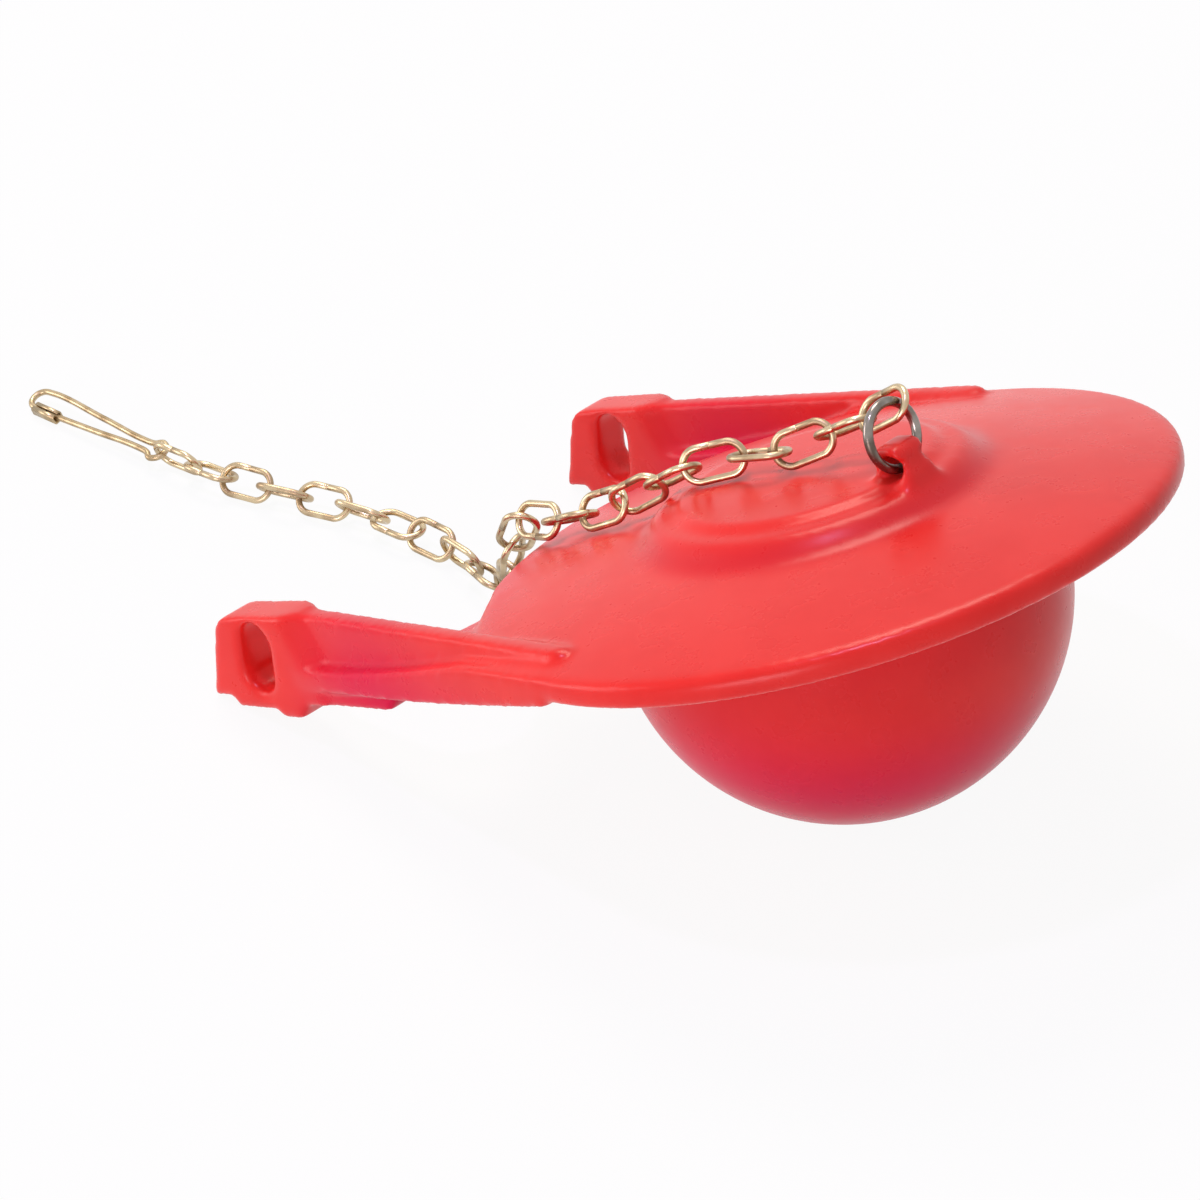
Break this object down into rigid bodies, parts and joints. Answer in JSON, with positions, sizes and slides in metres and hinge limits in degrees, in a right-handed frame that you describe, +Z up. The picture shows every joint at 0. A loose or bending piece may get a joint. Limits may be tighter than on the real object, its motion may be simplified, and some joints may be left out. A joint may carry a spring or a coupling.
{
  "type": "toilet flapper",
  "caption": "Soft rubber flush valve flapper: a round sealing disc with a hollow bulb below, two hinge arms, and a lift chain with a wire clip.",
  "frame": {"origin": "on the table, under the middle of the whole part as it lies at rest", "axes": "+X from the clip end of the chain to the far rim of the disc, +Y along the hinge line, +Z up from the table"},
  "size_m": [0.188, 0.086, 0.0564],
  "materials": {
    "rubber": "smooth moulded soft rubber, satin",
    "ring_steel": "bright drawn wire",
    "chain_brass": "plain wire, slightly dulled",
    "clip_brass": "plain spring wire, slightly dulled"
  },
  "bodies": {
    "flapper": {"flapper_body": "rubber"},
    "ring": {"lug_ring": "ring_steel"},
    "link_01": {"chain_link_01": "chain_brass"},
    "link_02": {"chain_link_02": "chain_brass"},
    "link_03": {"chain_link_03": "chain_brass"},
    "link_04": {"chain_link_04": "chain_brass"},
    "link_05": {"chain_link_05": "chain_brass"},
    "link_06": {"chain_link_06": "chain_brass"},
    "link_07": {"chain_link_07": "chain_brass"},
    "link_08": {"chain_link_08": "chain_brass"},
    "link_09": {"chain_link_09": "chain_brass"},
    "link_10": {"chain_link_10": "chain_brass"},
    "link_11": {"chain_link_11": "chain_brass"},
    "link_12": {"chain_link_12": "chain_brass"},
    "link_13": {"chain_link_13": "chain_brass"},
    "link_14": {"chain_link_14": "chain_brass"},
    "link_15": {"chain_link_15": "chain_brass"},
    "link_16": {"chain_link_16": "chain_brass"},
    "link_17": {"chain_link_17": "chain_brass"},
    "link_18": {"chain_link_18": "chain_brass"},
    "link_19": {"chain_link_19": "chain_brass"},
    "link_20": {"chain_link_20": "chain_brass"},
    "link_21": {"chain_link_21": "chain_brass"},
    "link_22": {"chain_link_22": "chain_brass"},
    "link_23": {"chain_link_23": "chain_brass"},
    "link_24": {"chain_link_24": "chain_brass"},
    "link_25": {"chain_link_25": "chain_brass"},
    "clip": {"chain_clip": "clip_brass"}
  },
  "joints": [
    {"name": "ring_hinge", "type": "hinge", "parent": "flapper", "child": "ring", "pos_m": [0.06479, 0, 0.04883], "axis": [0, 1, 0], "range_deg": [0, 60]},
    {"name": "link_01_hinge", "type": "hinge", "parent": "ring", "child": "link_01", "pos_m": [0.06202, 0.00251, 0.05464], "axis": [0.2769, 0.766, -0.5801], "range_deg": [0, 15]},
    {"name": "link_02_hinge", "type": "hinge", "parent": "link_01", "child": "link_02", "pos_m": [0.05705, 0.00207, 0.0507], "axis": [-0.5164, 0.6277, 0.5825], "range_deg": [0, 15]},
    {"name": "link_03_hinge", "type": "hinge", "parent": "link_02", "child": "link_03", "pos_m": [0.05176, 0.00109, 0.04697], "axis": [0.0776, 0.9348, -0.3465], "range_deg": [0, 15]},
    {"name": "link_04_hinge", "type": "hinge", "parent": "link_03", "child": "link_04", "pos_m": [0.04705, -0.00179, 0.0441], "axis": [-0.5734, 0.1255, 0.8096], "range_deg": [0, 15]},
    {"name": "link_05_hinge", "type": "hinge", "parent": "link_04", "child": "link_05", "pos_m": [0.04119, -0.00264, 0.04216], "axis": [-0.089, 0.9657, -0.2441], "range_deg": [0, 15]},
    {"name": "link_06_hinge", "type": "hinge", "parent": "link_05", "child": "link_06", "pos_m": [0.03642, -0.00622, 0.04032], "axis": [-0.4487, 0.168, 0.8777], "range_deg": [0, 15]},
    {"name": "link_07_hinge", "type": "hinge", "parent": "link_06", "child": "link_07", "pos_m": [0.03164, -0.00659, 0.03623], "axis": [0.1305, 0.9346, -0.3309], "range_deg": [0, 15]},
    {"name": "link_08_hinge", "type": "hinge", "parent": "link_07", "child": "link_08", "pos_m": [0.02692, -0.00799, 0.03249], "axis": [0.4727, 0.4526, -0.7561], "range_deg": [0, 15]},
    {"name": "link_09_hinge", "type": "hinge", "parent": "link_08", "child": "link_09", "pos_m": [0.0216, -0.00859, 0.02938], "axis": [-0.5006, 0.4698, 0.7271], "range_deg": [0, 15]},
    {"name": "link_10_hinge", "type": "hinge", "parent": "link_09", "child": "link_10", "pos_m": [0.01622, -0.00872, 0.02633], "axis": [0.1531, 0.9331, -0.3254], "range_deg": [0, 15]},
    {"name": "link_11_hinge", "type": "hinge", "parent": "link_10", "child": "link_11", "pos_m": [0.01037, -0.00832, 0.02432], "axis": [-0.2768, 0.4862, 0.8288], "range_deg": [0, 15]},
    {"name": "link_12_hinge", "type": "hinge", "parent": "link_11", "child": "link_12", "pos_m": [0.00774, -0.0072, 0.01861], "axis": [0.735, 0.6117, -0.2926], "range_deg": [0, 15]},
    {"name": "link_13_hinge", "type": "hinge", "parent": "link_12", "child": "link_13", "pos_m": [0.00544, -0.00531, 0.01318], "axis": [-0.0683, 0.9378, 0.3404], "range_deg": [0, 15]},
    {"name": "link_14_hinge", "type": "hinge", "parent": "link_13", "child": "link_14", "pos_m": [0.00285, -0.00287, 0.00812], "axis": [0.9084, 0.1241, -0.3993], "range_deg": [0, 15]},
    {"name": "link_15_hinge", "type": "hinge", "parent": "link_14", "child": "link_15", "pos_m": [-0.00061, 0.00017, 0.00398], "axis": [0.2459, 0.8753, 0.4164], "range_deg": [0, 15]},
    {"name": "link_16_hinge", "type": "hinge", "parent": "link_15", "child": "link_16", "pos_m": [-0.00591, 0.00319, 0.00248], "axis": [0.2937, -0.0729, -0.9531], "range_deg": [0, 15]},
    {"name": "link_17_hinge", "type": "hinge", "parent": "link_16", "child": "link_17", "pos_m": [-0.01193, 0.00479, 0.0027], "axis": [0.2574, 0.869, -0.4226], "range_deg": [0, 15]},
    {"name": "link_18_hinge", "type": "hinge", "parent": "link_17", "child": "link_18", "pos_m": [-0.01808, 0.00551, 0.0027], "axis": [0.0416, 0.3062, -0.9511], "range_deg": [0, 15]},
    {"name": "link_19_hinge", "type": "hinge", "parent": "link_18", "child": "link_19", "pos_m": [-0.02427, 0.00549, 0.0027], "axis": [0.0069, 0.5735, 0.8192], "range_deg": [0, 15]},
    {"name": "link_20_hinge", "type": "hinge", "parent": "link_19", "child": "link_20", "pos_m": [-0.03044, 0.00519, 0.0027], "axis": [-0.0427, 0.9977, 0.0523], "range_deg": [0, 15]},
    {"name": "link_21_hinge", "type": "hinge", "parent": "link_20", "child": "link_21", "pos_m": [-0.03652, 0.00403, 0.0027], "axis": [-0.1165, 0.672, -0.7314], "range_deg": [0, 15]},
    {"name": "link_22_hinge", "type": "hinge", "parent": "link_21", "child": "link_22", "pos_m": [-0.04245, 0.00226, 0.0027], "axis": [-0.1935, 0.6801, 0.7071], "range_deg": [0, 15]},
    {"name": "link_23_hinge", "type": "hinge", "parent": "link_22", "child": "link_23", "pos_m": [-0.04837, 0.0005, 0.0027], "axis": [-0.2109, 0.7126, -0.6691], "range_deg": [0, 15]},
    {"name": "link_24_hinge", "type": "hinge", "parent": "link_23", "child": "link_24", "pos_m": [-0.05441, -0.0008, 0.0027], "axis": [-0.1409, 0.6272, 0.766], "range_deg": [0, 15]},
    {"name": "link_25_hinge", "type": "hinge", "parent": "link_24", "child": "link_25", "pos_m": [-0.06058, -0.0013, 0.0027], "axis": [-0.0898, 0.9354, -0.342], "range_deg": [0, 15]},
    {"name": "clip_hinge", "type": "hinge", "parent": "link_25", "child": "clip", "pos_m": [-0.06674, -0.00175, 0.00268], "axis": [-0.0295, 0.4216, -0.9063], "range_deg": [0, 15]}
  ]
}
